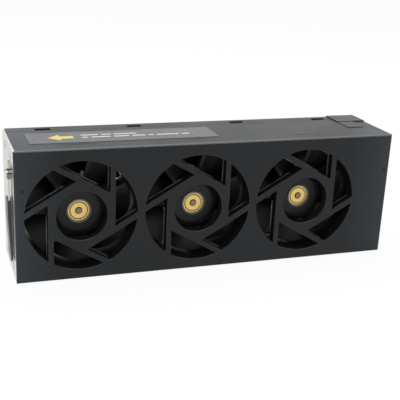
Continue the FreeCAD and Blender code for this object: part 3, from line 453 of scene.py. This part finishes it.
# The finish of each material slot of the frame.
paint = {
    "housing_plastic": moulded(
        "housing_plastic",
        (0.0050, 0.0066, 0.0082),
        wear_and_highlight=(0.10, 0.105, 0.11),
        roughness=0.42,
        is_housing=True,
    ),
    "fan_plastic": moulded(
        "fan_plastic",
        (0.006, 0.006, 0.007),
        wear_and_highlight=(0.03, 0.03, 0.032),
        roughness=0.45,
        grain=FINE_GRAIN,
        gloss=0.25,
    ),
    "rotor_plastic": moulded(
        "rotor_plastic",
        (0.009, 0.009, 0.0095),
        wear_and_highlight=(0.05, 0.05, 0.05),
        roughness=0.45,
        grain=FINE_GRAIN,
        gloss=0.31,
    ),
    "grip_plastic": moulded(
        "grip_plastic",
        (0.020, 0.021, 0.022),
        wear_and_highlight=(0.10, 0.10, 0.105),
        roughness=0.34,
        gloss=0.6,
    ),
    "connector_plastic": moulded(
        "connector_plastic",
        (0.010, 0.010, 0.011),
        wear_and_highlight=(0.05, 0.05, 0.05),
        roughness=0.40,
    ),
    "label_film": plain("label_film", (0.045, 0.047, 0.052), roughness=0.30, mottle=0.08, relief=0.04),
    "sheet_metal": sheet_metal("sheet_metal", (0.68, 0.67, 0.64), roughness=0.34),
    "steel": turned_metal("steel", (0.30, 0.30, 0.28), roughness=0.34, axes=fan_axes),
    "magnet": plain("magnet", (0.05, 0.05, 0.055), roughness=0.55),
    "brass": turned_metal("brass", (0.74, 0.56, 0.20), roughness=0.30, axes=fan_axes, groove=BUSH_GROOVE),
    "stator_steel": plain("stator_steel", (0.20, 0.20, 0.22), roughness=0.45, metallic=0.8),
    "copper": plain("copper", (0.62, 0.27, 0.12), roughness=0.35, metallic=0.9, grain=COIL_GRAIN, relief=0.5),
    "board": plain("board", (0.015, 0.09, 0.045), roughness=0.38),
    "header_plastic": plain("header_plastic", (0.70, 0.66, 0.54), roughness=0.45),
}

# Nodes whose finish differs from the rest of their slot.
own_paint = {
    # The bracket is a darker copy of the sheet metal, as painted shade.
    "handle_bracket": sheet_metal("bracket_metal_shaded", (0.40, 0.39, 0.35), roughness=0.42),
    "handle_pin": turned_metal("pin_steel", (0.24, 0.235, 0.22), roughness=0.35),
}
# The shafts' warm dark tint is a painted reflection of the brass, and painted shade.
shaft_steel_painted_reflection = turned_metal("shaft_steel_painted_reflection", (0.30, 0.18, 0.12), roughness=0.40, axes=fan_axes)
yoke_steel = turned_metal("yoke_steel", (0.13, 0.13, 0.115), roughness=0.38, axes=fan_axes)
for fan in FANS:
    own_paint[f"shaft_{fan}"] = shaft_steel_painted_reflection
    own_paint[f"rotor_yoke_{fan}"] = yoke_steel

for row in frame["record"]["subparts"]:
    mesh = nodes[row["node"]].data
    mesh.materials.clear()
    mesh.materials.append(own_paint.get(row["node"], paint[row["material_slot"]]))

# ------------------------------------------------------------------ pieces of the scene


def new_piece(name, builder, material, body):
    """A named object that rides a body and takes the given finish. The builder fills its mesh."""
    mesh = bpy.data.meshes.new(name)
    bm = bmesh.new()
    builder(bm)
    bmesh.ops.recalc_face_normals(bm, faces=bm.faces)
    bm.to_mesh(mesh)
    bm.free()
    mesh.materials.append(material)
    piece = bpy.data.objects.new(name, mesh)
    bpy.context.scene.collection.objects.link(piece)
    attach(piece, body)


def add_prism(bm, outline, thickness):
    """A slab on the outline, which is a loop of points; thickness is the vector through it."""
    near = [bm.verts.new(point) for point in outline]
    far = [bm.verts.new(point + thickness) for point in outline]
    bm.faces.new(near)
    bm.faces.new(list(reversed(far)))
    for i in range(len(outline)):
        j = (i + 1) % len(outline)
        bm.faces.new((near[i], far[i], far[j], near[j]))


# The guards' struts have a narrow lip along their rear edges.
GUARD_APOTHEM = 16.9 * MM
STRUT_WIDTH = 2.6 * MM
GUARD_DEPTH = 5.2 * MM
OPENING_RADIUS = 28.5 * MM
LIP_WIDTH = 0.35 * MM
LIP_DEPTH = 0.7 * MM
STRUTS = 6


def add_lip(bm, turn, centre, side, outer, low):
    """One lip, from its low end out to the edge of the round opening."""
    high = math.sqrt(OPENING_RADIUS**2 - max(side, outer) ** 2)
    corners = [(side, low), (outer, low), (outer, high), (side, high)]
    outline = [turn @ Vector((x, 0, z)) + centre for x, z in corners]
    add_prism(bm, outline, Vector((0, LIP_DEPTH, 0)))


def build_lips(bm):
    """Each strut has one lip on the side towards the fan's axis, and one on its other side."""
    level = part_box("front_cover")[0].y + GUARD_DEPTH - LIP_DEPTH
    inner = GUARD_APOTHEM - STRUT_WIDTH
    inner_start = GUARD_APOTHEM * math.tan(math.pi / STRUTS)
    for x_axis, z_axis in fan_axes:
        centre = Vector((x_axis, level, z_axis))
        for strut in range(STRUTS):
            turn = Matrix.Rotation(-2 * math.pi * strut / STRUTS, 3, "Y")
            add_lip(bm, turn, centre, inner, inner - LIP_WIDTH, inner_start)
            add_lip(bm, turn, centre, GUARD_APOTHEM, GUARD_APOTHEM + LIP_WIDTH, 0)


# The lips' pale edge colour is a painted highlight along the struts' rear edges.
lip_plastic = moulded("lip_plastic", (0.006, 0.007, 0.008), wear_and_highlight=(0.80, 0.81, 0.82), roughness=0.38)
new_piece("guard_lips", build_lips, lip_plastic, "housing")

# Each motor's base has a sloped rim between the roots of the vanes.
RIM_INNER = 15.9 * MM
RIM_OUTER = 19.4 * MM
RIM_DEPTH = 2.9 * MM
RIM_LAND = 0.9 * MM
RIM_SETBACK = 0.05 * MM
RIM_STEPS = 72


def build_rims(bm):
    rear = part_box("stator_vanes_1")[1].y - RIM_SETBACK
    slope = [(RIM_INNER, rear - RIM_DEPTH), (RIM_OUTER, rear - RIM_LAND)]
    profile = slope + [(RIM_OUTER, rear), (RIM_INNER, rear)]
    for x_axis, z_axis in fan_axes:
        rings = []
        for step in range(RIM_STEPS):
            angle = 2 * math.pi * step / RIM_STEPS
            across, up = math.cos(angle), math.sin(angle)
            rings.append([bm.verts.new((x_axis + r * across, y, z_axis + r * up)) for r, y in profile])
        for i, ring in enumerate(rings):
            after = rings[(i + 1) % RIM_STEPS]
            for j in range(len(profile)):
                k = (j + 1) % len(profile)
                bm.faces.new((ring[j], ring[k], after[k], after[j]))


new_piece("base_rims", build_rims, paint["fan_plastic"], "housing")

# The handle's knuckle is rolled sheet. Two dark strips one over the other above the pin are painted shadow.
SHADOW_HEIGHT = 0.8 * MM
SHADOW_PROUD = 0.04 * MM
SHADOW_LEVELS = (3.9 * MM, 1.7 * MM)


def build_knuckle_shadows(bm):
    low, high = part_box("handle_bracket")
    pin = centre_of("handle_pin").z
    for level in SHADOW_LEVELS:
        bottom = pin + level - SHADOW_HEIGHT / 2
        top = bottom + SHADOW_HEIGHT
        corners = [(low.x, bottom), (high.x, bottom), (high.x, top), (low.x, top)]
        outline = [Vector((x, low.y - SHADOW_PROUD, z)) for x, z in corners]
        add_prism(bm, outline, Vector((0, SHADOW_PROUD, 0)))


knuckle_shade = plain("knuckle_shade", (0.03, 0.03, 0.025), roughness=0.6)
new_piece("knuckle_shadows", build_knuckle_shadows, knuckle_shade, "housing")

# Two rows of gilt contacts stand in the connector's socket, and their tips bend in towards its middle.
CONTACTS = 7
CONTACT_PITCH = 2.4 * MM
CONTACT_ROWS = ((-1.6 * MM, 0.5 * MM), (1.0 * MM, -0.5 * MM))
CONTACT_LENGTH = 4.6 * MM
CONTACT_STRAIGHT = 0.7 * CONTACT_LENGTH
CONTACT_THICKNESS = 0.35 * MM
CONTACT_WIDTH = 0.9 * MM
SOCKET_FLOOR = 1.7 * MM


def build_contacts(bm):
    """A row is given by how far behind the socket's middle it stands, and how far back its tips bend."""
    middle = centre_of("board_connector")
    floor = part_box("board_connector")[0].x + SOCKET_FLOOR
    for row, bend in CONTACT_ROWS:
        front = [(0, 0), (CONTACT_STRAIGHT, 0), (CONTACT_LENGTH, bend)]
        back = [(x, y + CONTACT_THICKNESS) for x, y in reversed(front)]
        for contact in range(CONTACTS):
            z = middle.z + (contact - (CONTACTS - 1) / 2) * CONTACT_PITCH - CONTACT_WIDTH / 2
            outline = [Vector((floor + x, middle.y + row + y, z)) for x, y in front + back]
            add_prism(bm, outline, Vector((0, 0, CONTACT_WIDTH)))


new_piece("connector_contacts", build_contacts, paint["brass"], "housing")

# A generic print on the label: a plain arrow towards the handle, and ruled lines.
INK = 0.02 * MM
ARROW_START = 10.2 * MM
ARROW_LENGTH = 13.0 * MM
ARROW_HALF = 5.6 * MM
ARROW_NECK = 6.2 * MM
ARROW_STEM = 2.3 * MM
RULE_START = 27.5 * MM
RULE_WIDTH = 1.5 * MM
RULE_GAP = 1.7 * MM
RULES = ((12.6, (9.0, 5.0, 12.0)), (8.2, (3.0, 10.0, 8.0, 7.0, 2.6, 12.0, 4.0)))

label_low, label_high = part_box("label")


def ink(name, colour):
    return plain(name, colour, roughness=0.35, mottle=0.12, relief=0.03)


def print_shape(bm, points):
    """A flat shape that stands on the label by the thickness of the ink."""
    add_prism(bm, [Vector((x, y, label_high.z + INK)) for x, y in points], Vector((0, 0, -INK)))


def build_arrow(bm):
    tip = label_low.x + ARROW_START
    neck = tip + ARROW_NECK
    end = tip + ARROW_LENGTH
    middle = (label_low.y + label_high.y) / 2
    half = [(tip, 0), (neck, -ARROW_HALF), (neck, -ARROW_STEM), (end, -ARROW_STEM)]
    mirrored = [(x, -y) for x, y in reversed(half[1:])]
    print_shape(bm, [(x, middle + y) for x, y in half + mirrored])


def build_rules(bm):
    """A row of dashes is given in millimetres, by its distance from the label's front and their lengths."""
    for level, lengths in RULES:
        start = label_low.x + RULE_START
        front = label_low.y + level * MM
        back = front + RULE_WIDTH
        for length in lengths:
            end = start + length * MM
            print_shape(bm, [(start, front), (end, front), (end, back), (start, back)])
            start = end + RULE_GAP


new_piece("label_arrow", build_arrow, ink("yellow_ink", (0.62, 0.52, 0.10)), "housing")
new_piece("label_rules", build_rules, ink("white_ink", (0.62, 0.62, 0.62)), "housing")

# ------------------------------------------------------------------ finish

bpy.context.scene.view_settings.view_transform = "Standard"
